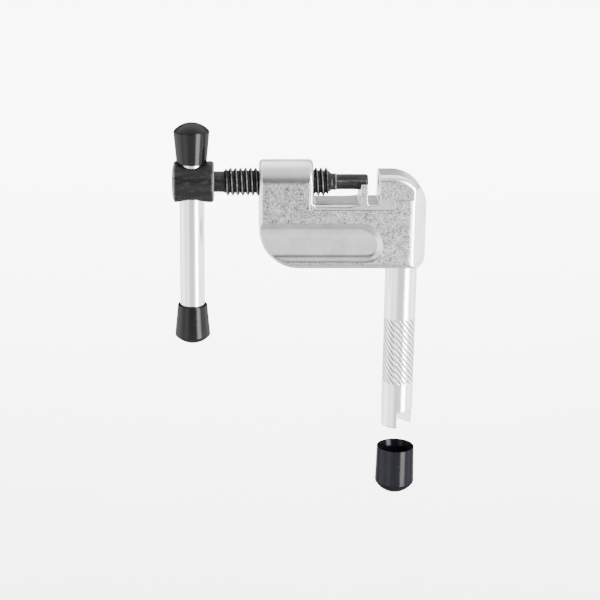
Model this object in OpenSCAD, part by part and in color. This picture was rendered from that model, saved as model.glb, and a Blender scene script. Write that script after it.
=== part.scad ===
// Screw-type bicycle chain tool: a forged frame with a thread boss, a chain tab and an anvil,
// a driving screw with a sliding tommy bar, and a rod handle with a pull-off end cap.
// Frame: origin where the screw axis meets the anvil face, +X along the screw towards the anvil,
// +Y to the back, +Z up. All sizes in millimetres.

/* [Frame] */
// Thickness of the forging, front to back
body_t = 12.6; // [12:0.1:16]
// Outer face of the thread boss to the anvil face
body_left = 33.6; // [30:0.1:40]
// Depth of the anvil and handle column behind the anvil face
body_right = 13.6; // [13:0.1:16]
// Underside of the frame below the screw axis
body_drop = 24; // [23:0.1:28]
// Radius of the big lower corner under the thread boss
heel_r = 11.5; // [8:0.5:12]
// Radius of the shoulder at the top of the anvil column
shoulder_r = 10; // [8:0.5:10]
// Radius of the small lower corner at the handle
toe_r = 2.5; // [1:0.5:4]
// Rounding of the anvil's upper long edges
edge_r = 2.8; // [1:0.1:4]
// Width of the drafted flank outside each flat side of the handle column
flank_w = 4.4; // [3:0.1:5]
// Rounding of the frame's lower long edges
sole_r = 1.8; // [1:0.1:3]
// Depth of the scooped panel on each side
panel_depth = 0.9; // [0.3:0.1:1.5]

/* [Chain cradle] */
// Length of the thread boss along the screw
boss_len = 15.1; // [12:0.1:17]
// Height of the anvil above the screw axis
anvil_top = 2.9; // [2.7:0.1:4]
// Cradle floor below the screw axis
floor_drop = 5.3; // [5:0.1:6]
// Thickness of the tab that stands between a chain's inner plates
tab_t = 2; // [1.6:0.1:2.2]
// Clear space between the tab and the anvil face
plate_gap = 3.35; // [2.8:0.05:4]
// Height of the tab's prongs above the screw axis
prong_top = 0.3; // [0:0.1:1.5]
// Width of the notch that seats one chain roller
roller_d = 8; // [7.8:0.1:8.5]
// Diameter of the hole in the anvil that receives the rivet
rivet_bore_d = 4.6; // [4.5:0.1:4.8]
// Depth of the hole in the anvil
rivet_bore_depth = 5.5; // [4.5:0.5:6]

/* [Driving screw] */
// Outside diameter of the thread
thread_d = 7.94; // [7:0.01:8.2]
// Pitch of the thread
pitch = 1.411; // [1.25:0.001:1.5]
// Length of the threaded part
thread_len = 29.45; // [25:0.05:35]
// Diameter of the screw's head
head_d = 11.6; // [10:0.1:12]
// Length of the screw's head
head_len = 12; // [10:0.1:13]
// Diameter of the plain neck between the head and the thread
neck_d = 5.9; // [5:0.1:6.2]
// Length of the neck
neck_len = 2.7; // [2:0.1:4]

/* [Drive pin] */
// Diameter of the pin's nose
pin_d = 4.35; // [4:0.05:4.4]
// Reach of the nose past the pin's collar
pin_len = 9.05; // [8:0.05:10]
// Diameter of the pin's collar
pin_collar_d = 4.8; // [4.6:0.1:5.5]
// Diameter of the pin's shank inside the screw
pin_shank_d = 3; // [2.5:0.1:3.2]

/* [Tommy bar] */
// Diameter of the sliding bar
bar_d = 7; // [6:0.1:7.2]
// Length of the bar between its ends
bar_len = 60.7; // [50:0.1:70]
// Diameter of each cap at its open rim
bar_cap_rim_d = 8.5; // [8:0.1:9]
// Largest diameter of each cap
bar_cap_d = 10.2; // [9.5:0.05:11]
// Cone length from a cap's rim to its widest ring
bar_cap_cone = 9.1; // [7:0.1:10]

/* [Handle] */
// Diameter of the handle rod
rod_d = 9; // [8:0.1:9.4]
// Handle rod below the underside of the frame
rod_out = 48.9; // [40:0.1:60]
// Rod length inside the frame's socket
rod_seat = 9; // [6:0.5:11]
// Width of the slot across the rod's end
slot_w = 6.6; // [5:0.1:6.8]
// Depth of the slot across the rod's end
slot_depth = 5; // [3:0.5:8]
// Angle of the slot round the rod
slot_turn = 48; // [0:1:90]
// Diameter of the end cap at its rim
cap_rim_d = 10.9; // [10.2:0.05:12]
// Largest diameter of the end cap
cap_d = 11.5; // [10.6:0.05:12]
// Height of the end cap
cap_h = 14.4; // [12:0.1:16]
// Gap between the rod's end and the rim of the pulled-off cap
cap_pulled = 7; // [0:0.5:20]

/* [Hidden] */
$fn = 64;
eps = 0.02;             // sliver that keeps cutters clear of coincident faces
fit = 0.02;             // radial clearance of a pressed or pushed-on fit
run_fit = 0.06;         // radial clearance of the screw in its boss
half_t = body_t / 2;
boss_right = -body_left + boss_len;
tab_right = -plate_gap;
tab_left = tab_right - tab_t;
thread_end = -body_left + boss_len + 4.45;
thread_start = thread_end - thread_len;
thread_root_d = thread_d - 1.2 * pitch;
head_right = thread_start - neck_len;
head_left = head_right - head_len;
collar_at = thread_end + 1.55;
collar_len = 0.45;
bar_x = head_left + 5.7;
bar_bore_d = bar_d + 0.3;
bar_sink_d = 9.8;       // countersink round each end of the bar's hole
bar_cap_sunk = 0.45;    // upper cap's rim below the head's top line when the bar hangs
bar_cap_wall = 1.85;    // cap material past the end of the bar
bar_cap_h = bar_cap_cone + 2.4;
upper_rim_z = head_d / 2 - bar_cap_sunk;
bar_top = upper_rim_z + bar_cap_h - bar_cap_wall;
bar_bottom = bar_top - bar_len;
lower_rim_z = bar_bottom + bar_cap_h - bar_cap_wall;
rod_x = 7.1;
rod_bottom = -body_drop - rod_out;
cap_rim_z = rod_bottom - cap_pulled;
panel_top = -11;
panel_bottom = -21.4;
panel_right = 0.8;

// A straight bar along X from x0 to x1 with the 2D section (y, z) of its children
module along_x(x0, x1) {
    translate([x0, 0, 0])
        rotate([90, 0, 90])
            linear_extrude(height = x1 - x0)
                children();
}

// A plate in the XZ plane, spread evenly along Y
module across_y(thickness) {
    rotate([90, 0, 0])
        linear_extrude(height = thickness, center = true)
            children();
}

// A round rod along X
module rod_x_axis(x0, x1, d) {
    translate([x0, 0, 0])
        rotate([0, 90, 0])
            cylinder(h = x1 - x0, d = d);
}

// Rectangle as wide as w with its two upper corners rounded, from y = lo up to y = hi
module round_topped(w, lo, hi, r) {
    translate([-w / 2, lo])
        square([w, hi - lo - r]);
    translate([-w / 2 + r, hi - r - eps])
        square([w - 2 * r, r + eps]);
    for (side = [-1, 1])
        translate([side * (w / 2 - r), hi - r]) circle(r = r);
}

// Side view of the forging: heel, beam, thread boss, anvil column with its rounded shoulder
module frame_outline() {
    beam_top = -floor_drop;
    beam_h = body_drop - floor_drop;
    intersection() {
        translate([-body_left + heel_r, -body_drop + heel_r]) circle(r = heel_r);
        translate([-body_left, -body_drop]) square([2 * heel_r, heel_r]);
    }
    translate([-body_left + heel_r, -body_drop])
        square([body_left - heel_r + body_right - toe_r, beam_h]);
    translate([-body_left, -body_drop + heel_r])
        square([heel_r + eps, beam_h - heel_r]);
    translate([-body_left, beam_top - eps])
        square([boss_len, half_t + floor_drop + eps]);
    translate([body_right - toe_r, -body_drop + toe_r]) circle(r = toe_r);
    translate([body_right - toe_r - eps, -body_drop + toe_r])
        square([toe_r + eps, anvil_top - shoulder_r + body_drop - toe_r]);
    intersection() {
        translate([body_right - shoulder_r, anvil_top - shoulder_r]) circle(r = shoulder_r);
        translate([0, -body_drop]) square([body_right, body_drop + anvil_top]);
    }
    translate([0, beam_top - eps])
        square([body_right - shoulder_r, anvil_top - beam_top + eps]);
}

// Cross-section below the screw axis, with its lower corners rounded
module beam_section() {
    mirror([0, 1])
        round_topped(body_t, -eps, body_drop, sole_r);
}

// The part of the frame that carries the screw thread, a full half-round above the axis
module boss_section() {
    along_x(-body_left - 1, boss_right + eps) {
        circle(d = body_t);
        beam_section();
    }
}

// Plan view of the handle column: each side breaks into a shallow bevel, then a steep draft
module flank_section() {
    bevel_x = body_right - flank_w;
    draft_x = bevel_x + 1.05;
    draft_y = half_t - 0.38;
    polygon([[boss_right - 1, -half_t], [bevel_x, -half_t], [draft_x, -draft_y], [body_right, -1.1],
             [body_right, 1.1], [draft_x, draft_y], [bevel_x, half_t], [boss_right - 1, half_t]]);
}

// The rest of the frame, with softer top edges and drafted flanks at the handle column
module anvil_section() {
    intersection() {
        along_x(boss_right, body_right + 1) {
            round_topped(body_t, -1, anvil_top, edge_r);
            beam_section();
        }
        translate([0, 0, -body_drop - 1])
            linear_extrude(height = body_drop + anvil_top + 2)
                flank_section();
    }
}

// Tab between the thread boss and the anvil: a thin wall notched for one roller
module chain_tab() {
    tab_base = -floor_drop - 1;
    difference() {
        translate([tab_left, -half_t, tab_base])
            cube([tab_t, body_t, prong_top - tab_base]);
        rod_x_axis(tab_left - 1, tab_right + 1, roller_d);
    }
    tab_foot(tab_left, 1);
    tab_foot(tab_right, -1);
}

// Small fillet where the tab stands on the floor
module tab_foot(x, side) {
    foot_r = 0.8;
    translate([x, 0, -floor_drop])
        difference() {
            translate([side > 0 ? -foot_r : -eps, -half_t, -eps])
                cube([foot_r + eps, body_t, foot_r + eps]);
            translate([-side * foot_r, 0, foot_r])
                rotate([90, 0, 0])
                    cylinder(h = body_t + 2, r = foot_r, center = true);
        }
}

// Outline of the scooped side panel, open at the heel
module panel_outline() {
    large_r = 6;
    small_r = 4;
    translate([-body_left - 1, panel_bottom])
        square([body_left + 1 + panel_right - large_r, panel_top - panel_bottom]);
    translate([panel_right - large_r, panel_top - large_r]) circle(r = large_r);
    translate([panel_right - large_r - eps, panel_bottom])
        square([large_r - small_r + eps, small_r + eps]);
    translate([panel_right - small_r, panel_bottom + small_r]) circle(r = small_r);
    translate([panel_right - large_r, panel_bottom + small_r])
        square([large_r, panel_top - large_r - panel_bottom - small_r]);
}

// Forged frame with its thread bore, rivet hole, handle socket and side panels
module body() {
    color([0.80, 0.80, 0.80])
        difference() {
            union() {
                intersection() {
                    across_y(body_t + 2) frame_outline();
                    union() {
                        boss_section();
                        anvil_section();
                    }
                }
                chain_tab();
            }
            rod_x_axis(-body_left - 1, boss_right + 1, thread_d + 2 * run_fit);
            rod_x_axis(-1, rivet_bore_depth, rivet_bore_d);
            translate([rod_x, 0, -body_drop - 1])
                cylinder(h = rod_seat + 1, d = rod_d + 2 * fit);
            for (side = [-1, 1])
                translate([0, side * (half_t + 1 - panel_depth / 2), 0])
                    across_y(2 + panel_depth) panel_outline();
        }
}

// Handle rod pressed into the frame, slotted at its free end
module handle_rod() {
    edge = 0.4;
    color([0.88, 0.88, 0.88])
        difference() {
            translate([rod_x, 0, 0]) {
                translate([0, 0, rod_bottom + edge])
                    cylinder(h = rod_out + rod_seat - edge - fit, d = rod_d);
                translate([0, 0, rod_bottom])
                    cylinder(h = edge + eps, d1 = rod_d - 2 * edge, d2 = rod_d);
            }
            translate([rod_x, 0, rod_bottom + slot_depth / 2 - 1])
                rotate([0, 0, slot_turn - 90])
                    cube([rod_d + 2, slot_w, slot_depth + 2], center = true);
        }
}

// Half profile (radius, height) of a push-on cap: rim at 0, widest ring at cone_h, domed end
module cap_profile(rim_r, wide_r, cone_h, total_h, bore_r, bore_h) {
    dome_h = total_h - cone_h;
    dome_r = (wide_r * wide_r + dome_h * dome_h) / (2 * dome_h);
    difference() {
        union() {
            polygon([[0, 0], [rim_r, 0], [wide_r, cone_h], [0, cone_h]]);
            intersection() {
                translate([0, total_h - dome_r]) circle(r = dome_r);
                translate([0, cone_h - eps]) square([wide_r, dome_h + 2 * eps]);
            }
        }
        translate([-1, -1]) square([bore_r + 1, bore_h + 1]);
    }
}

// Pull-off rubber cap of the handle rod, drawn pulled off below the rod
module handle_cap() {
    color([0.10, 0.10, 0.12])
        translate([rod_x, 0, cap_rim_z])
            mirror([0, 0, 1])
                rotate_extrude()
                    cap_profile(cap_rim_d / 2, cap_d / 2, cap_h - 3.4, cap_h, rod_d / 2 + fit, 10.5);
}

// Half profile (radius, distance along the screw) of a V thread built as rings
module thread_rings() {
    turns = floor(thread_len / pitch);
    root_r = thread_root_d / 2;
    crest_r = thread_d / 2;
    square([root_r, thread_len]);
    for (i = [0 : turns - 1])
        translate([0, i * pitch])
            polygon([[root_r - eps, 0.05 * pitch], [crest_r, 0.42 * pitch],
                     [crest_r, 0.58 * pitch], [root_r - eps, 0.95 * pitch]]);
}

// Driving screw: cross-drilled head, neck, thread and a plain front end that holds the pin
module spindle() {
    chamfer = 0.9;
    front_d = 4.65;
    color([0.16, 0.16, 0.17])
        difference() {
            rotate([0, 90, 0])
                union() {
                    translate([0, 0, head_left])
                        rotate_extrude()
                            polygon([[0, 0], [head_d / 2 - chamfer, 0], [head_d / 2, chamfer],
                                     [head_d / 2, head_len - chamfer],
                                     [head_d / 2 - chamfer, head_len], [0, head_len]]);
                    translate([0, 0, head_right - eps])
                        cylinder(h = neck_len + 2 * eps, d = neck_d);
                    translate([0, 0, thread_start])
                        rotate_extrude() thread_rings();
                    translate([0, 0, thread_end - eps])
                        cylinder(h = collar_at - thread_end + eps, d = front_d);
                }
            translate([bar_x, 0, 0])
                bar_hole();
            rod_x_axis(collar_at - 8.5, collar_at + 1, pin_shank_d + 2 * fit);
        }
}

// Hole for the sliding bar, countersunk at both ends so that a cap's rim can seat in it
module bar_hole() {
    reach = head_d / 2;
    sink = (bar_sink_d - bar_bore_d) / 2;
    cylinder(h = head_d + 2, d = bar_bore_d, center = true);
    for (side = [0, 1])
        mirror([0, 0, side])
            translate([0, 0, reach - sink])
                cylinder(h = sink + 0.5, d1 = bar_bore_d, d2 = bar_sink_d + 1);
}

// Replaceable pin: shank inside the screw, collar, and nose with a tapered tip
module drive_pin() {
    shank_len = 8;
    tip = 1.6;
    nose_start = collar_at + collar_len;
    color([0.20, 0.20, 0.21])
        translate([nose_start, 0, 0])
            rotate([0, 90, 0])
                rotate_extrude()
                    polygon([[0, -collar_len - shank_len], [pin_shank_d / 2, -collar_len - shank_len],
                             [pin_shank_d / 2, -collar_len + fit], [pin_collar_d / 2, -collar_len + fit],
                             [pin_collar_d / 2, 0], [pin_d / 2, 0], [pin_d / 2 - 0.08, pin_len - tip],
                             [pin_d / 2 - 0.7, pin_len], [0, pin_len]]);
}

// Bar that slides through the head
module tommy_bar() {
    color([0.90, 0.90, 0.90])
        translate([bar_x, 0, bar_bottom])
            cylinder(h = bar_len, d = bar_d);
}

// One push-on cap of the bar, rim at the origin, opening downwards
module bar_cap() {
    color([0.12, 0.12, 0.12])
        rotate_extrude()
            cap_profile(bar_cap_rim_d / 2, bar_cap_d / 2, bar_cap_cone, bar_cap_h,
                        bar_d / 2 + fit, bar_cap_h - bar_cap_wall + fit);
}

module tommy_cap_upper() {
    translate([bar_x, 0, upper_rim_z]) bar_cap();
}

module tommy_cap_lower() {
    translate([bar_x, 0, lower_rim_z]) mirror([0, 0, 1]) bar_cap();
}

body();
handle_rod();
handle_cap();
spindle();
drive_pin();
tommy_bar();
tommy_cap_upper();
tommy_cap_lower();
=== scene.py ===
"""Looks of a screw-type bicycle chain tool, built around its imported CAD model.

Lengths on the tool and of the camera are in millimetres, in the CAD frame: the screw's axis is the
X axis, the anvil face is at x = 0, +Z is up and the front of the tool faces -Y. Meshes are converted
to metres. The ground and the lights are placed in metres. Solid shapes are written as signed distance
fields, negative inside, and turned into meshes.
"""

import math

import bpy
import numpy as np
from mathutils import Matrix, Vector


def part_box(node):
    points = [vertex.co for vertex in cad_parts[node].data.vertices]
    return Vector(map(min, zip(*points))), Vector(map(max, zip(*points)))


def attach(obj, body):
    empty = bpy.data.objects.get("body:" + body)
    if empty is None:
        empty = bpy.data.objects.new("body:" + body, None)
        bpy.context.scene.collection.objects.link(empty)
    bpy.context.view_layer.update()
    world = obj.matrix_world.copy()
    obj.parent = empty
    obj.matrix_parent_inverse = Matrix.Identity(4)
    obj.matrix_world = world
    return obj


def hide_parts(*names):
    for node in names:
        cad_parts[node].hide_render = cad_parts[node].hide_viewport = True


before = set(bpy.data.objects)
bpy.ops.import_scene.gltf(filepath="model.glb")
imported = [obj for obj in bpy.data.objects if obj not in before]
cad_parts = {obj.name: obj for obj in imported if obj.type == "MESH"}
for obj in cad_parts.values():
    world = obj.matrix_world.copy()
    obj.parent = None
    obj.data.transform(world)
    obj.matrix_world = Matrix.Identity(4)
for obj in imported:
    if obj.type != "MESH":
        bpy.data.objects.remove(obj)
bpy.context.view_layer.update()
MM = 0.001


def corners(node):
    """Lowest and highest corner of a CAD node, in millimetres."""
    low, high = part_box(node)
    return np.array(low) / MM, np.array(high) / MM


BODY_LO, BODY_HI = corners("body")
ROD_LO, ROD_HI = corners("handle_rod")
CAP_LO, CAP_HI = corners("handle_cap")
SPINDLE_LO, SPINDLE_HI = corners("spindle")
PIN_HI = corners("drive_pin")[1]
BAR_LO, BAR_HI = corners("tommy_bar")
UPPER_LO, UPPER_HI = corners("tommy_cap_upper")
LOWER_HI = corners("tommy_cap_lower")[1]

# Features inside the nodes' boxes
BOSS_RIGHT = BODY_LO[0] + 15.1
SHOULDER_R = 10
TOE_R = 2.5
HEEL_R = 11.5  # lower left corner of the frame
CRADLE_Z = -5.3
ANVIL_TOP = 2.9
TAB_X = (-5.35, -3.35)
PRONG_TOP = 0.3
NOTCH_R = 4.0
RIVET_BORE_R = 2.3
RIVET_BORE_DEPTH = 5.5
PANEL_Z = (-21.4, -11.0)
PANEL_RIGHT = 0.8
PANEL_DEPTH = 0.9
PANEL_CORNERS = (6.0, 4.0)
PANEL_FILLET = 2.4
MILLED_LOW_Z = -6.6
MILLED_HIGH_Z = -3.9
MILLED_RIGHT = 4.2
MILLED_DEPTH = 0.18
THREAD_PITCH = 1.411
THREAD_R = 3.97
THREAD_ROOT_R = 3.12
THREAD_CREST_X = -42.98  # where a crest crosses the top of the screw
FRONT_R = 2.33  # plain front end that carries the pin
NECK_R = 2.95
HEAD_R = SPINDLE_HI[2]
HEAD_RIGHT = SPINDLE_LO[0] + 12
BAR_HOLE_R = 3.65
BAR_SINK_R = 4.9
THREAD_X = (HEAD_RIGHT + 2.7, HEAD_RIGHT + 2.7 + 29.45)
COLLAR_R = 2.4
NOSE_R = 2.175
BAR_X = (BAR_LO[0] + BAR_HI[0]) / 2
ROD_X = (ROD_LO[0] + ROD_HI[0]) / 2
ROD_R = (ROD_HI[0] - ROD_LO[0]) / 2
SLOT_DEPTH = 5.0
SLOT_HALF = 3.3
SLOT_TURN = math.radians(48)
BAR_CAP_RIM_R = 4.25
ROD_CAP_RIM_R = 5.45


# ---------------------------------------------------------------- field arithmetic

def smoothstep(low, high, value):
    t = np.clip((value - low) / (high - low), 0, 1)
    return t * t * (3 - 2 * t)


def mix(a, b, t):
    return a + (b - a) * t


def meet(a, b, r):
    """Intersection of two fields, its edge rounded to radius r."""
    outside = np.hypot(np.maximum(a + r, 0), np.maximum(b + r, 0))
    return np.minimum(np.maximum(a + r, b + r), 0) + outside - r


def smooth_max(a, b, k):
    """Intersection of two fields with a soft hollow or ridge about k wide."""
    h = np.clip(0.5 + 0.5 * (a - b) / k, 0, 1)
    return mix(b, a, h) + k * h * (1 - h)


def rounded_box(u, v, low, high, radii):
    """2D box from low to high. radii are its corners': (right top, right bottom, left top, left bottom)."""
    cu, cv = (low[0] + high[0]) / 2, (low[1] + high[1]) / 2
    pu, pv = u - cu, v - cv
    right_top, right_bottom, left_top, left_bottom = radii
    right = np.where(pv > 0, right_top, right_bottom)
    left = np.where(pv > 0, left_top, left_bottom)
    r = np.where(pu > 0, right, left)
    qu = np.abs(pu) - (high[0] - low[0]) / 2 + r
    qv = np.abs(pv) - (high[1] - low[1]) / 2 + r
    return np.minimum(np.maximum(qu, qv), 0) + np.hypot(np.maximum(qu, 0), np.maximum(qv, 0)) - r


# ---------------------------------------------------------------- meshes

def new_object(name, verts, faces, normals=None):
    """Smooth-shaded object made from vertices in millimetres."""
    mesh = bpy.data.meshes.new(name)
    mesh.from_pydata(verts * MM, [], faces)
    mesh.update()
    mesh.shade_smooth()
    if normals is not None:
        mesh.normals_split_custom_set_from_vertices(normals)
    obj = bpy.data.objects.new(name, mesh)
    bpy.context.scene.collection.objects.link(obj)
    return obj


def vertex_value(obj, name, values):
    """Stores one number at each vertex, for the material to read."""
    layer = obj.data.attributes.new(name, "FLOAT", "POINT")
    layer.data.foreach_set("value", np.asarray(values, np.float32))


def positions(obj):
    """An object's vertices in millimetres, as columns x, y, z."""
    points = np.empty(len(obj.data.vertices) * 3)
    obj.data.vertices.foreach_get("co", points)
    return points.reshape(-1, 3).T / MM


def gradient(field, points, h=0.01):
    """Slope of a field at each point."""
    slope = np.empty_like(points)
    for axis in range(3):
        step = np.zeros(3)
        step[axis] = h
        slope[:, axis] = (field(points + step) - field(points - step)) / (2 * h)
    return slope


def field_grid(field, low, high, step):
    """The field's values on a regular grid, one layer at a time."""
    axes = [np.arange(low[i] - 2 * step, high[i] + 3 * step, step) for i in range(3)]
    values = np.empty([len(a) for a in axes])
    layer = np.stack(np.meshgrid(axes[1], axes[2], indexing="ij"), -1).reshape(-1, 2)
    for i, x in enumerate(axes[0]):
        points = np.column_stack([np.full(len(layer), x), layer])
        values[i] = field(points).reshape(len(axes[1]), len(axes[2]))
    return values, np.array([a[0] for a in axes])


def surface_nets(values, origin, step):
    """Quad mesh of the field's zero surface: one vertex in each grid cell that it crosses."""
    cells = np.array(values.shape) - 1
    total = np.zeros((int(np.prod(cells)), 3))
    count = np.zeros(len(total), int)
    quads = []
    for axis in range(3):
        others = [(axis + 1) % 3, (axis + 2) % 3]
        lower = np.take(values, range(cells[axis]), axis)
        upper = np.take(values, range(1, cells[axis] + 1), axis)
        crossing = np.argwhere((lower < 0) != (upper < 0))
        inner = np.all([(crossing[:, o] > 0) & (crossing[:, o] < cells[o]) for o in others], axis=0)
        crossing = crossing[inner]
        at = tuple(crossing.T)
        share = lower[at] / (lower[at] - upper[at])
        hit = crossing.astype(float)
        hit[:, axis] += share
        ring = []
        for du, dv in ((0, 0), (1, 0), (1, 1), (0, 1)):
            cell = crossing.copy()
            cell[:, others[0]] -= du
            cell[:, others[1]] -= dv
            index = np.ravel_multi_index(cell.T, cells)
            np.add.at(total, index, hit)
            np.add.at(count, index, 1)
            ring.append(index)
        ring = np.column_stack(ring)
        flip = lower[at] >= 0
        ring[flip] = ring[flip][:, ::-1]
        quads.append(ring)
    used = np.flatnonzero(count)
    remap = np.full(len(total), -1)
    remap[used] = np.arange(len(used))
    verts = origin + step * total[used] / count[used, None]
    return verts, remap[np.concatenate(quads)]


def solid_from_field(name, field, low, high, step):
    """Mesh of a field, its vertices pulled onto the exact surface and its normals taken from the field."""
    values, origin = field_grid(field, low, high, step)
    verts, quads = surface_nets(values, origin, step)
    for _ in range(3):
        slope = gradient(field, verts)
        size = np.maximum((slope ** 2).sum(1), 0.2)
        move = field(verts)[:, None] * slope / size[:, None]
        verts -= np.clip(move, -0.5 * step, 0.5 * step)
    slope = gradient(field, verts)
    normals = slope / np.maximum(np.linalg.norm(slope, axis=1), 1e-9)[:, None]
    return new_object(name, verts, quads.tolist(), normals)


def filleted(profile):
    """Points of a lathe profile [(radius, height, fillet), ...], each corner rounded to its fillet."""
    points = [np.array(p[:2], float) for p in profile]
    result = [points[0]]
    for before, corner, after, spec in zip(points, points[1:], points[2:], profile[1:-1]):
        if spec[2] == 0:
            result.append(corner)
            continue
        a = (before - corner) / np.linalg.norm(before - corner)
        b = (after - corner) / np.linalg.norm(after - corner)
        half = math.acos(np.clip(a @ b, -1, 1)) / 2
        reach = min(spec[2] / math.tan(half), 0.49 * np.linalg.norm(before - corner),
                    0.49 * np.linalg.norm(after - corner))
        r = reach * math.tan(half)
        middle = corner + (a + b) / np.linalg.norm(a + b) * (r / math.sin(half))
        start, end = corner + a * reach - middle, corner + b * reach - middle
        sweep = math.pi - 2 * half
        turn = math.copysign(sweep, start[0] * end[1] - start[1] * end[0])
        steps = max(3, int(sweep / math.radians(9)))
        for k in range(steps + 1):
            c, s = math.cos(turn * k / steps), math.sin(turn * k / steps)
            result.append(middle + np.array([c * start[0] - s * start[1], s * start[0] + c * start[1]]))
    result.append(points[-1])
    return result


def lathe(name, profile, to_world, segments=128):
    """Solid of revolution. The profile runs from the axis round the section and back to the axis."""
    points = filleted(profile)
    verts, faces = [], []
    angles = [2 * math.pi * k / segments for k in range(segments)]
    rings = []
    for r, h in points:
        if r < 1e-6:
            rings.append([len(verts)])
            verts.append((0, 0, h))
        else:
            rings.append(list(range(len(verts), len(verts) + segments)))
            verts.extend((r * math.cos(t), r * math.sin(t), h) for t in angles)
    for low, high in zip(rings, rings[1:]):
        for k in range(segments):
            n = (k + 1) % segments
            if len(low) == 1:
                faces.append((low[0], high[n], high[k]))
            elif len(high) == 1:
                faces.append((low[k], low[n], high[0]))
            else:
                faces.append((low[k], low[n], high[n], high[k]))
    verts = np.array(verts) @ np.array(to_world.to_3x3()).T + np.array(to_world.translation)
    return new_object(name, verts, faces)


ALONG_X = Matrix.Rotation(math.pi / 2, 4, "Y")
UPSIDE_DOWN = Matrix.Rotation(math.pi, 4, "X")


# ---------------------------------------------------------------- materials

def node_maker(tree):
    """A function that adds a node of a kind to the tree and sets its sockets or properties."""
    def add(kind, **values):
        node = tree.nodes.new(kind)
        for key, value in values.items():
            if key in node.inputs:
                node.inputs[key].default_value = value
            else:
                setattr(node, key, value)
        return node

    return add


def material(name):
    """A new node material: (material, its Principled shader, a maker of nodes, a maker of links)."""
    mat = bpy.data.materials.new(name)
    mat.use_nodes = True
    tree = mat.node_tree
    return mat, tree.nodes["Principled BSDF"], node_maker(tree), tree.links.new


def ramp(add, link, source, stops):
    """Colour ramp over a socket. stops are (position, grey or colour)."""
    node = add("ShaderNodeValToRGB")
    elements = node.color_ramp.elements
    while len(elements) < len(stops):
        elements.new(0.5)
    for element, (position, shade) in zip(elements, stops):
        element.position = position
        element.color = (*shade, 1) if isinstance(shade, tuple) else (shade, shade, shade, 1)
    link(source, node.inputs["Fac"])
    return node


def millimetres(add, link, scale=(1, 1, 1)):
    """Object coordinates in millimetres, stretched by scale."""
    coords = add("ShaderNodeTexCoord")
    mapping = add("ShaderNodeMapping", Scale=[s / MM for s in scale])
    link(coords.outputs["Object"], mapping.inputs["Vector"])
    return mapping.outputs["Vector"]


def noise(add, link, vector, scale, detail=3, roughness=0.6):
    node = add("ShaderNodeTexNoise", Scale=scale, Detail=detail, Roughness=roughness)
    link(vector, node.inputs["Vector"])
    return node.outputs["Fac"]


def mixed(add, link, share, low, high):
    """Colour that goes from low to high as share goes from 0 to 1."""
    node = add("ShaderNodeMix", data_type="RGBA")
    link(share, node.inputs[0])
    link(low, node.inputs[6])
    link(high, node.inputs[7])
    return node.outputs[2]


def forged_steel():
    """Bright forging, speckled where the vertex value "pebbled" marks an as-forged face."""
    mat, shader, add, link = material("forged_steel")
    place = millimetres(add, link)
    grit = noise(add, link, place, 2.5, 3, 0.8)
    mottle = add("ShaderNodeMath", operation="MULTIPLY_ADD")
    link(noise(add, link, place, 0.7, 2), mottle.inputs[0])
    mottle.inputs[1].default_value = 0.3
    link(grit, mottle.inputs[2])
    clouds = noise(add, link, place, 0.22, 3)
    mask = add("ShaderNodeAttribute", attribute_name="pebbled")
    speckle = ramp(add, link, mottle.outputs["Value"],
                   [(0.49, (0.06, 0.06, 0.058)), (0.8, (0.96, 0.96, 0.95))])
    plain = ramp(add, link, clouds, [(0.3, (0.76, 0.76, 0.75)), (0.7, (0.99, 0.99, 0.98))])
    colour = mixed(add, link, mask.outputs["Fac"], plain.outputs["Color"], speckle.outputs["Color"])
    link(colour, shader.inputs["Base Color"])
    rough = add("ShaderNodeMapRange")
    rough.inputs["To Min"].default_value = 0.25
    rough.inputs["To Max"].default_value = 0.28
    link(mask.outputs["Fac"], rough.inputs["Value"])
    link(rough.outputs["Result"], shader.inputs["Roughness"])
    shader.inputs["Metallic"].default_value = 1
    height = add("ShaderNodeMath", operation="MULTIPLY")
    link(grit, height.inputs[0])
    link(mask.outputs["Fac"], height.inputs[1])
    bump = add("ShaderNodeBump", Strength=0.25, Distance=0.0003)
    link(height.outputs["Value"], bump.inputs["Height"])
    link(bump.outputs["Normal"], shader.inputs["Normal"])
    return mat


def plated_steel():
    """Bright plating, its colour darkened as painted shade where the vertex value "groove" marks the bottom
    of a knurl groove.
    """
    mat, shader, add, link = material("plated_steel")
    drawn = millimetres(add, link, (3, 3, 0.05))
    lines = noise(add, link, drawn, 1.4, 3)
    rough = ramp(add, link, lines, [(0.3, 0.16), (0.7, 0.26)])
    link(rough.outputs["Color"], shader.inputs["Roughness"])
    tint = ramp(add, link, lines, [(0.3, (0.86, 0.86, 0.86)), (0.7, (0.93, 0.93, 0.93))])
    # Painted shade: a darker colour for the bottoms of the knurl grooves.
    painted_groove_shade = ramp(add, link, lines, [(0.3, (0.22, 0.22, 0.22)), (0.7, (0.35, 0.35, 0.35))])
    groove = add("ShaderNodeAttribute", attribute_name="groove")
    colour = mixed(add, link, groove.outputs["Fac"], tint.outputs["Color"], painted_groove_shade.outputs["Color"])
    link(colour, shader.inputs["Base Color"])
    shader.inputs["Metallic"].default_value = 1
    bump = add("ShaderNodeBump", Strength=0.08, Distance=0.0001)
    link(lines, bump.inputs["Height"])
    link(bump.outputs["Normal"], shader.inputs["Normal"])
    return mat


def dull_edges(add, link, shader, level, start, end):
    """Fades the shine of a dark finish where the surface turns away, as fine roughness does."""
    facing = add("ShaderNodeLayerWeight", Blend=0.5)
    shine = ramp(add, link, facing.outputs["Facing"], [(start, level), (end, 0.02)])
    link(shine.outputs["Color"], shader.inputs["Specular IOR Level"])


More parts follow.
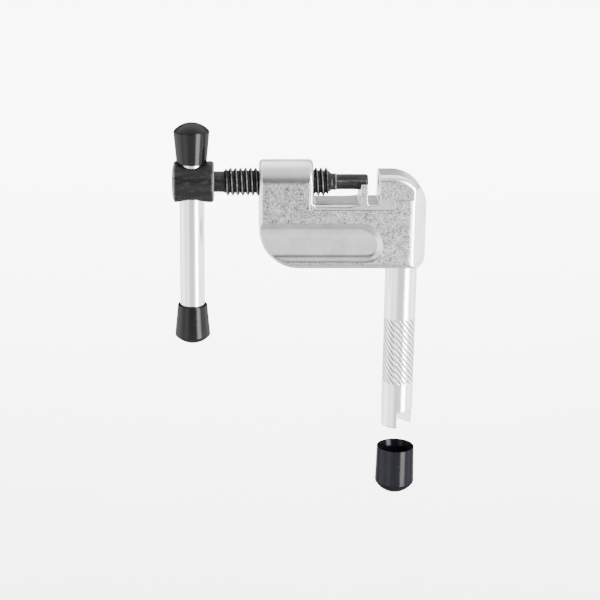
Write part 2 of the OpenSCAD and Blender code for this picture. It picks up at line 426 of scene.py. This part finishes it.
def black_steel():
    """Black oxide, lightened where a vertex value says so: thread crests where wear shows the steel,
    lighter rims on the head and collar, and a painted highlight streak along the pin's nose.
    """
    mat, shader, add, link = material("black_steel")
    place = millimetres(add, link)
    scuffs = noise(add, link, millimetres(add, link, (0.35, 1, 1)), 1.1, 5, 0.7)
    grain = noise(add, link, place, 4, 3)
    tint = ramp(add, link, scuffs, [(0.5, (0.006, 0.006, 0.006)), (0.75, (0.03, 0.03, 0.03))])
    # Lighter colour: steel showing through the oxide where it has been rubbed off, and the painted
    # highlight on the pin's nose.
    bare_steel_and_highlight = ramp(add, link, scuffs, [(0.35, (0.03, 0.03, 0.03)), (0.65, (0.3, 0.3, 0.3))])
    wear_and_highlight = add("ShaderNodeAttribute", attribute_name="wear_and_highlight")
    colour = mixed(add, link, wear_and_highlight.outputs["Fac"], tint.outputs["Color"], bare_steel_and_highlight.outputs["Color"])
    link(colour, shader.inputs["Base Color"])
    shader.inputs["IOR"].default_value = 1.45
    dull_edges(add, link, shader, 0.4, 0.15, 0.75)
    rough = ramp(add, link, grain, [(0.3, 0.24), (0.7, 0.36)])
    link(rough.outputs["Color"], shader.inputs["Roughness"])
    bump = add("ShaderNodeBump", Strength=0.15, Distance=0.0001)
    link(grain, bump.inputs["Height"])
    link(bump.outputs["Normal"], shader.inputs["Normal"])
    return mat


def cap_rubber(name, colour, shine):
    """Dark moulded rubber or vinyl. shine is the level, start and end that dull_edges takes."""
    mat, shader, add, link = material(name)
    place = millimetres(add, link)
    skin = noise(add, link, place, 1.2, 3)
    tint = ramp(add, link, skin, [(0.3, colour), (0.7, tuple(1.5 * c for c in colour))])
    link(tint.outputs["Color"], shader.inputs["Base Color"])
    shader.inputs["IOR"].default_value = 1.42
    dull_edges(add, link, shader, *shine)
    rough = ramp(add, link, skin, [(0.3, 0.16), (0.7, 0.22)])
    link(rough.outputs["Color"], shader.inputs["Roughness"])
    bump = add("ShaderNodeBump", Strength=0.06, Distance=0.0002)
    link(skin, bump.inputs["Height"])
    link(bump.outputs["Normal"], shader.inputs["Normal"])
    return mat


FORGED = forged_steel()
PLATED = plated_steel()
BLACK = black_steel()
RUBBER = cap_rubber("cap_rubber", (0.003, 0.003, 0.003), (0.34, 0.15, 0.72))
VINYL = cap_rubber("cap_vinyl", (0.0035, 0.0035, 0.006), (0.28, 0.05, 0.5))


def finish_piece(obj, mat, body, slot, *nodes):
    """Gives a piece its material and its body, and hides the CAD nodes that it stands for. slot is not
    used.
    """
    obj.data.materials.append(mat)
    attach(obj, body)
    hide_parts(*nodes)


# ---------------------------------------------------------------- forged frame

def round_about_x(y, z, r):
    return np.hypot(y, z) - r


def frame_block(x, y, z):
    """The forging without its boss and its chain gap, edges rounded as the dies left them."""
    half_t = BODY_HI[1]
    side = rounded_box(x, z, (BODY_LO[0], BODY_LO[2]), (BODY_HI[0], ANVIL_TOP),
                       (SHOULDER_R, TOE_R, 1, HEEL_R))
    side = np.where(x < BOSS_RIGHT / 2, np.maximum(side, z), side)
    edge = mix(1.1, 1.8, smoothstep(-12, -20, z))
    edge = mix(edge, 2.4, smoothstep(-6, -2, z) * smoothstep(-3, -1, x))
    block = meet(side, np.abs(y) - half_t, edge)
    return meet(block, anvil_flank(BODY_HI[0] - x, half_t - np.abs(y), z), 0.3)


def anvil_flank(inset, depth, z):
    """Bevel and steeper draft at the frame's right end. inset and depth run in from its end and side."""
    bevel_w, bevel_angle = 4.4, math.radians(20)
    draft_w, draft_depth, draft_angle = 3.35, 0.38, math.radians(55)
    bevel = (bevel_w - inset) * math.sin(bevel_angle) - depth * math.cos(bevel_angle)
    draft = (draft_w - inset) * math.sin(draft_angle) - (depth - draft_depth) * math.cos(draft_angle)
    return meet(bevel - 3 * smoothstep(-0.6, 0.8, z), draft - 3 * smoothstep(0, 2, z), 0.5)


def chain_gap(x, z):
    """Side view of the open space between the boss and the anvil, less the tab that stands in it."""
    gap = rounded_box(x, z, (BOSS_RIGHT, CRADLE_Z), (0, 30), (0, 0.5, 0, 1.2))
    tab = rounded_box(x, z, (TAB_X[0], CRADLE_Z - 3), (TAB_X[1], PRONG_TOP), (0.25, 0, 0.25, 0))
    return smooth_max(gap, -tab, 0.9)


def thread_boss(x, y, z):
    half_t = BODY_HI[1]
    section = np.where(z > 0, np.hypot(y, z), np.abs(y)) - half_t
    middle = (BODY_LO[0] + BOSS_RIGHT) / 2
    ends = np.abs(x - middle) - (BOSS_RIGHT - BODY_LO[0]) / 2
    return np.maximum(meet(section, ends, 1.1), -10 - z)


def side_panel(x, y, z):
    """The scoop in each side of the frame, open at the heel."""
    low, high = (BODY_LO[0] - 6, PANEL_Z[0]), (PANEL_RIGHT, PANEL_Z[1])
    outline = rounded_box(x, z, low, high, (*PANEL_CORNERS, 0, 0))
    depth = mix(0.5, PANEL_DEPTH, smoothstep(-11, -15, z))
    reach = np.sqrt(PANEL_FILLET ** 2 - (PANEL_FILLET - depth) ** 2)
    return meet(outline - (PANEL_FILLET - reach), BODY_HI[1] - depth - np.abs(y), PANEL_FILLET)


def milled_flank(x, y, z):
    """The shallow cut that trues both sides of the cradle."""
    low = rounded_box(x, z, (BOSS_RIGHT - 1.0, MILLED_LOW_Z), (MILLED_RIGHT, 12), (0, 0, 0, 0))
    high = rounded_box(x, z, (BOSS_RIGHT + 1, MILLED_HIGH_Z), (30, 12), (0, 0, 0, 0))
    return np.maximum(np.minimum(low, high), BODY_HI[1] - MILLED_DEPTH - np.abs(y))


def body_field(points):
    x, y, z = points.T
    gap_edge = mix(1.35, 0.5, smoothstep(-8.5, -6.4, x))
    solid = meet(frame_block(x, y, z), -chain_gap(x, z), gap_edge)
    notch = np.where(z < 0, np.hypot(y, z), np.abs(y)) - NOTCH_R
    notch = np.maximum(notch, np.abs(x - sum(TAB_X) / 2) - 2)
    solid = meet(solid, -notch, 0.25)
    solid = np.minimum(solid, thread_boss(x, y, z))
    solid = smooth_max(solid, -milled_flank(x, y, z), 0.12)
    solid = smooth_max(solid, -side_panel(x, y, z), 0.5)
    thread_bore = np.maximum(round_about_x(y, z, THREAD_R + 0.06), x - BOSS_RIGHT - 1)
    solid = meet(solid, -thread_bore, 0.3)
    rivet_bore = np.maximum(round_about_x(y, z, RIVET_BORE_R), np.abs(x) - RIVET_BORE_DEPTH)
    solid = meet(solid, -rivet_bore, 0.25)
    socket = np.maximum(np.hypot(x - ROD_X, y) - ROD_R - 0.02, z - ROD_HI[2])
    return meet(solid, -socket, 0.3)


def pebbled_share(x, y, z, squareness):
    """1 on the as-forged side faces, 0 on the smooth rounded, scooped and milled surfaces."""
    flat = smoothstep(0.97, 0.998, squareness)
    outer = smoothstep(BODY_HI[1] - 0.45, BODY_HI[1] - 0.2, np.abs(y))
    low_cut = (z > MILLED_LOW_Z) & (z < MILLED_HIGH_Z)
    strip = (x > BOSS_RIGHT - 0.4) & (x < MILLED_RIGHT) & low_cut
    anvil = (x > -1) & (z >= MILLED_HIGH_Z)
    return flat * outer * np.where(strip, 0.15, np.where(anvil, 0.7, 1))


def make_body():
    obj = solid_from_field("forged_frame", body_field, BODY_LO, BODY_HI, 0.2)
    normals = np.empty(len(obj.data.vertices) * 3)
    obj.data.vertices.foreach_get("normal", normals)
    vertex_value(obj, "pebbled", pebbled_share(*positions(obj), np.abs(normals[1::3])))
    finish_piece(obj, FORGED, "frame_body", "forged_steel", "body")


# ---------------------------------------------------------------- handle rod

def knurl(x, y, z):
    """Depth of the slanting knurl grooves round the rod."""
    starts = 18
    depth = 0.17
    slant = math.radians(47.8)
    round_rod = ROD_R * np.arctan2(x - ROD_X, -y)
    spacing = 2 * math.pi * ROD_R * math.sin(slant) / starts
    across = (round_rod * math.sin(slant) + z * math.cos(slant)) / spacing
    groove = np.abs(across - np.round(across)) * spacing
    top, bottom = -39.4, -59.6
    band = smoothstep(top, top - 0.8, z) * smoothstep(bottom, bottom + 0.8, z)
    return depth * band * (1 - smoothstep(0.02, 0.3, groove))


def rod_field(points):
    x, y, z = points.T
    rod = np.hypot(x - ROD_X, y) - ROD_R + knurl(x, y, z)
    solid = meet(rod, np.abs(z - (ROD_LO[2] + ROD_HI[2]) / 2) - (ROD_HI[2] - ROD_LO[2]) / 2, 0.45)
    off_middle = np.abs((x - ROD_X) * math.cos(SLOT_TURN) + y * math.sin(SLOT_TURN))
    slot = rounded_box(off_middle, z, (-9, ROD_LO[2] - 9), (SLOT_HALF, ROD_LO[2] + SLOT_DEPTH),
                       (0.4, 0, 0, 0))
    return meet(solid, -slot, 0.2)


def make_handle_rod():
    obj = solid_from_field("knurled_rod", rod_field, ROD_LO, ROD_HI, 0.17)
    # Marks the knurl grooves' bottoms, where the plating's colour is darkened as painted shade.
    vertex_value(obj, "groove", smoothstep(0.04, 0.14, knurl(*positions(obj))))
    finish_piece(obj, PLATED, "frame_body", "plated_steel", "handle_rod")


# ---------------------------------------------------------------- driving screw

def head_field(points):
    x, y, z = points.T
    r = np.hypot(y, z)
    head = rounded_box(x, r, (SPINDLE_LO[0], -HEAD_R), (HEAD_RIGHT, HEAD_R), (0.8, 0.8, 1.4, 1.4))
    dome_r = 25
    dome = np.sqrt((x - SPINDLE_LO[0] - dome_r) ** 2 + r ** 2) - dome_r
    head = smooth_max(head, dome, 0.3)
    off_bar = np.hypot(x - BAR_X, y)
    sink = (off_bar - BAR_SINK_R + HEAD_R - np.abs(z)) / math.sqrt(2)
    return meet(head, -np.minimum(off_bar - BAR_HOLE_R, sink), 0.15)


def thread_radius(x, angle):
    """Radius of the threaded shank. angle is the turn about +X from +Y."""
    root = np.where(x < THREAD_X[0], NECK_R, THREAD_ROOT_R)
    taper = mix(THREAD_ROOT_R, FRONT_R, smoothstep(-0.4, 1.1, x - THREAD_X[1]))
    root = np.where(x > THREAD_X[1] - 0.4, taper, root)
    phase = (x - THREAD_CREST_X) / THREAD_PITCH - (angle - math.pi / 2) / (2 * math.pi)
    off_crest = np.abs(phase - np.round(phase))
    ridge = mix(THREAD_R, THREAD_ROOT_R, smoothstep(0.05, 0.46, off_crest))
    runout = np.minimum(2.9 + 1.3 * (x - THREAD_X[0]), 3.1 + 2.2 * (THREAD_X[1] - x))
    return np.maximum(root, np.minimum(ridge, runout))


def make_screw_head():
    head = solid_from_field("screw_head", head_field, (SPINDLE_LO[0], -HEAD_R, -HEAD_R),
                            (HEAD_RIGHT, HEAD_R, HEAD_R), 0.18)
    x, y, z = positions(head)
    rim = smoothstep(HEAD_R - 1.6, HEAD_R - 1.1, np.hypot(y, z))
    left = 1 - smoothstep(0.7, 1.2, x - SPINDLE_LO[0])
    right = 1 - smoothstep(0.2, 0.45, HEAD_RIGHT - x)
    # Lighter rims at both ends of the head.
    vertex_value(head, "wear_and_highlight", 0.8 * rim * np.maximum(left, right))
    finish_piece(head, BLACK, "screw", "black_steel", "spindle")


def make_screw_shank():
    """Neck, thread and plain front end: a tube of rings whose radius follows the helix."""
    segments = 144
    along = np.arange(HEAD_RIGHT - 0.6, SPINDLE_HI[0], 0.07)
    along = np.append(along, SPINDLE_HI[0])
    angles = np.linspace(0, 2 * math.pi, segments, endpoint=False)
    x, angle = np.meshgrid(along, angles, indexing="ij")
    r = thread_radius(x, angle)
    verts = np.stack([x, r * np.cos(angle), r * np.sin(angle)], -1).reshape(-1, 3)
    rows = len(along)
    index = np.arange(rows * segments).reshape(rows, segments)
    nxt = np.roll(index, -1, axis=1)
    faces = np.stack([index[:-1], index[1:], nxt[1:], nxt[:-1]], -1).reshape(-1, 4).tolist()
    ends = [list(index[0]), list(index[-1][::-1])]
    shank = new_object("screw_shank", verts, faces + ends)
    # Thread crests where wear shows the steel.
    wear_and_highlight = 0.6 * smoothstep(THREAD_R - 0.06, THREAD_R, r)
    vertex_value(shank, "wear_and_highlight", wear_and_highlight.ravel())
    finish_piece(shank, BLACK, "screw", "black_steel", "spindle")


def make_drive_pin():
    start, tip = SPINDLE_HI[0], PIN_HI[0]
    profile = [(0, start + 0.01, 0), (COLLAR_R, start + 0.01, 0.1), (COLLAR_R, start + 0.45, 0.1),
               (NOSE_R, start + 0.5, 0.05), (NOSE_R, start + 0.7, 0), (NOSE_R, tip - 1.4, 0),
               (NOSE_R, tip, 1.2), (0, tip, 0)]
    obj = lathe("drive_pin_nose", profile, ALONG_X)
    x, y, z = positions(obj)
    # A lighter band round the collar's edge.
    collar = 0.6 * (1 - smoothstep(0.1, 0.3, np.abs(x - start - 0.35)))
    # Painted highlight: a lighter streak along the nose, about 17 degrees above its front, on the side that
    # faces the lens.
    painted_highlight_streak = 1 - smoothstep(0.02, 0.2, np.abs(np.arctan2(z, -y) - 0.3))
    vertex_value(obj, "wear_and_highlight", np.maximum(collar, 0.3 * painted_highlight_streak * (x > start + 0.6)))
    finish_piece(obj, BLACK, "pin_body", "black_steel", "drive_pin")


# ---------------------------------------------------------------- tommy bar and caps

def make_tommy_bar():
    r = (BAR_HI[0] - BAR_LO[0]) / 2
    low, high = BAR_LO[2], BAR_HI[2]
    profile = [(0, low, 0), (r, low, 0.6), (r, high, 0.6), (0, high, 0)]
    obj = lathe("sliding_bar", profile, Matrix.Translation((BAR_X, 0, 0)))
    finish_piece(obj, PLATED, "sliding_bar", "plated_steel", "tommy_bar")


def cap_profile(rim_r, wide_r, cone, height, bore_r, bore, flare, turn_in):
    """Section of a push-on cap, rim at height 0: cavity flared at its mouth, rim, cone and dome."""
    dome = height - cone
    dome_r = (wide_r ** 2 + dome ** 2) / (2 * dome)
    centre = height - dome_r
    steps = 10
    start = math.asin(wide_r / dome_r)
    arc = [(dome_r * math.sin(start * k / steps), centre + dome_r * math.cos(start * k / steps), 0)
           for k in range(steps - 1, -1, -1)]
    return [(0, bore, 0), (bore_r, bore, 0.5), (bore_r, 2, 0.6), (bore_r + flare, 0, 0.1),
            (rim_r, 0, 0.15), (wide_r, cone, turn_in), *arc]


def make_bar_caps():
    height = UPPER_HI[2] - UPPER_LO[2]
    wide = (UPPER_HI[0] - UPPER_LO[0]) / 2
    dome = 2.4
    wall = 1.83
    cavity_r = 3.52
    profile = cap_profile(BAR_CAP_RIM_R, wide, height - dome, height, cavity_r, height - wall, 0.3, 1.5)
    places = {"bar_cap_upper": (UPPER_LO[2], "tommy_cap_upper", Matrix.Identity(4)),
              "bar_cap_lower": (LOWER_HI[2], "tommy_cap_lower", UPSIDE_DOWN)}
    for name, (rim, node, flip) in places.items():
        obj = lathe(name, profile, Matrix.Translation((BAR_X, 0, rim)) @ flip)
        finish_piece(obj, RUBBER, "sliding_bar", "cap_rubber", node)


def make_handle_cap():
    height = CAP_HI[2] - CAP_LO[2]
    wide = (CAP_HI[0] - CAP_LO[0]) / 2
    dome = 3.4
    cavity = 10.5
    profile = cap_profile(ROD_CAP_RIM_R, wide, height - dome, height, ROD_R + 0.02, cavity, 0.75, 3)
    obj = lathe("rod_end_cap", profile, Matrix.Translation((ROD_X, 0, CAP_HI[2])) @ UPSIDE_DOWN)
    finish_piece(obj, VINYL, "end_cap", "cap_rubber", "handle_cap")


make_body()
make_handle_rod()
make_screw_head()
make_screw_shank()
make_drive_pin()
make_tommy_bar()
make_bar_caps()
make_handle_cap()


# ---------------------------------------------------------------- camera, floor and light

ELEVATION = math.radians(17.5)
GROUND_Z = -0.45  # metres
SUBJECT = (-0.02, 0, -0.04)  # metres, about the middle of the tool


def make_camera():
    """A long lens 17.5 degrees above the tool and left of its middle, shifted to centre the tool."""
    distance = 455
    sensor, lens = 36, 97.2
    aim_x = -41.74
    above_centre = 33.25
    off_axis = 7 / 60  # from the lens axis to the picture's middle, as a share of its width
    forward = Vector((0, math.cos(ELEVATION), -math.sin(ELEVATION)))
    up = Vector((0, math.sin(ELEVATION), math.cos(ELEVATION)))
    place = Vector((aim_x, 0, 0)) - above_centre * up - distance * forward
    data = bpy.data.cameras.new("camera")
    data.lens = lens
    data.sensor_width = sensor
    data.shift_x = off_axis
    data.clip_start = 0.01
    camera = bpy.data.objects.new("camera", data)
    camera.location = place * MM
    camera.rotation_euler = (math.pi / 2 - ELEVATION, 0, 0)
    bpy.context.scene.collection.objects.link(camera)
    bpy.context.scene.camera = camera


def make_floor():
    """Pale matt ground far below the tool, kept out of its reflections."""
    half = 8.0
    z = GROUND_Z
    mesh = bpy.data.meshes.new("floor")
    verts = [(-half, -half, z), (half, -half, z), (half, half, z), (-half, half, z)]
    mesh.from_pydata(verts, [], [(0, 1, 2, 3)])
    floor = bpy.data.objects.new("floor", mesh)
    bpy.context.scene.collection.objects.link(floor)
    mat, shader, add, link = material("floor")
    shader.inputs["Roughness"].default_value = 0.9
    place = millimetres(add, link)
    tint = ramp(add, link, noise(add, link, place, 0.01), [(0.3, 0.93), (0.7, 0.95)])
    link(tint.outputs["Color"], shader.inputs["Base Color"])
    mesh.materials.append(mat)
    floor.visible_glossy = False


def panel_light(name, place, target, size, brightness):
    """A soft white panel that faces target. size is width and height in metres."""
    data = bpy.data.lights.new(name, "AREA")
    data.shape = "RECTANGLE"
    data.size, data.size_y = size
    data.energy = brightness * math.pi * size[0] * size[1]
    light = bpy.data.objects.new(name, data)
    light.location = place
    light.rotation_euler = (Vector(target) - Vector(place)).to_track_quat("-Z", "Y").to_euler()
    light.visible_camera = False
    bpy.context.scene.collection.objects.link(light)
    return light


# Brightness of the tent round the tool, from straight behind it (0) to the lens (1)
TENT_SHADES = [(0, 0.6), (0.2, 0.66), (0.38, 0.92), (0.47, 0.86), (0.57, 0.7), (0.69, 0.46),
               (0.79, 0.36), (0.89, 0.33), (0.96, 0.2), (0.985, 0.12), (0.997, 0.03)]
# How strongly the tent shines, from straight below (0) to straight above (1)
TENT_HEIGHTS = [(0, 0.28), (0.1, 0.28), (0.33, 1.0), (0.52, 0.76), (0.6, 0.16), (0.68, 0.16),
                (0.78, 0.66), (1, 0.7)]
TENT_STRENGTH = 4.5


def tent_shades(add, link, direction):
    """Grey of the tent by its angle from the lens."""
    facing = add("ShaderNodeVectorMath", operation="DOT_PRODUCT")
    facing.inputs[1].default_value = (0, -math.cos(ELEVATION), math.sin(ELEVATION))
    link(direction, facing.inputs[0])
    share = add("ShaderNodeMapRange")
    share.inputs["From Min"].default_value = -1
    link(facing.outputs["Value"], share.inputs["Value"])
    return ramp(add, link, share.outputs["Result"], TENT_SHADES).outputs["Color"]


def tent_strength(add, link, direction):
    """Strength of the tent by its height."""
    split = add("ShaderNodeSeparateXYZ")
    link(direction, split.inputs["Vector"])
    height = add("ShaderNodeMapRange")
    height.inputs["From Min"].default_value = -1
    link(split.outputs["Z"], height.inputs["Value"])
    curve = add("ShaderNodeFloatCurve")
    points = curve.mapping.curves[0].points
    points[0].location = TENT_HEIGHTS[0]
    points[1].location = TENT_HEIGHTS[-1]
    for at in TENT_HEIGHTS[1:-1]:
        points.new(*at)
    curve.mapping.update()
    link(height.outputs["Result"], curve.inputs["Value"])
    gain = add("ShaderNodeMath", operation="MULTIPLY")
    gain.inputs[1].default_value = TENT_STRENGTH
    link(curve.outputs["Value"], gain.inputs[0])
    return gain.outputs["Value"]


def make_tent():
    """The world: a pale tent all round the tool, dark round the lens."""
    world = bpy.data.worlds.new("studio")
    world.use_nodes = True
    tree = world.node_tree
    link = tree.links.new
    add = node_maker(tree)
    direction = add("ShaderNodeTexCoord").outputs["Generated"]
    background = tree.nodes["Background"]
    link(tent_shades(add, link, direction), background.inputs["Color"])
    link(tent_strength(add, link, direction), background.inputs["Strength"])
    bpy.context.scene.world = world


def make_lights():
    """A bright panel right of the lens, a dim one left of it, and one over the ground behind the tool."""
    distance = 1.2
    for name, azimuth, brightness in (("right_panel", 44, 16), ("left_panel", -42, 1.2)):
        turn = math.radians(azimuth)
        place = (SUBJECT[0] + distance * math.sin(turn), -distance * math.cos(turn), SUBJECT[2])
        panel_light(name, place, SUBJECT, (0.58, 2.4), brightness)
    floor_light = panel_light("floor_light", (0, 3, 0.9), (0, 3, GROUND_Z), (8, 4.4), 11)
    floor_light.visible_glossy = False


make_camera()
make_floor()
make_tent()
make_lights()
